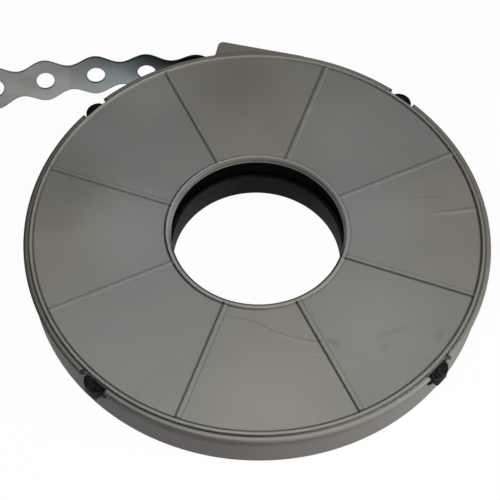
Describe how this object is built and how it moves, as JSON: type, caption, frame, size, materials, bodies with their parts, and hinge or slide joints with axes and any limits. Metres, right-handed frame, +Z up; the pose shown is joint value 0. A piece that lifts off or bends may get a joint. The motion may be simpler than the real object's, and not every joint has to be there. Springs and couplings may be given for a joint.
{
  "type": "perforated fixing strap in a dispenser case",
  "caption": "Wave-edged perforated steel fixing strap wound in a flat round plastic case with a central bore; its free end leaves through a side nozzle.",
  "frame": {"origin": "axis of the central bore at the underside of the base, which lies on the floor", "axes": "+Z up along the bore's axis; -X the way the strap's free end points; +Y towards the nozzle"},
  "size_m": [0.184, 0.1651, 0.0206],
  "materials": {
    "grey_plastic": "moulded, fine matt",
    "black_plastic": "moulded, satin",
    "zinc_steel": "galvanised, rolled"
  },
  "bodies": {
    "root": {"cover": "grey_plastic", "base": "black_plastic", "strap": "zinc_steel"}
  },
  "joints": []
}
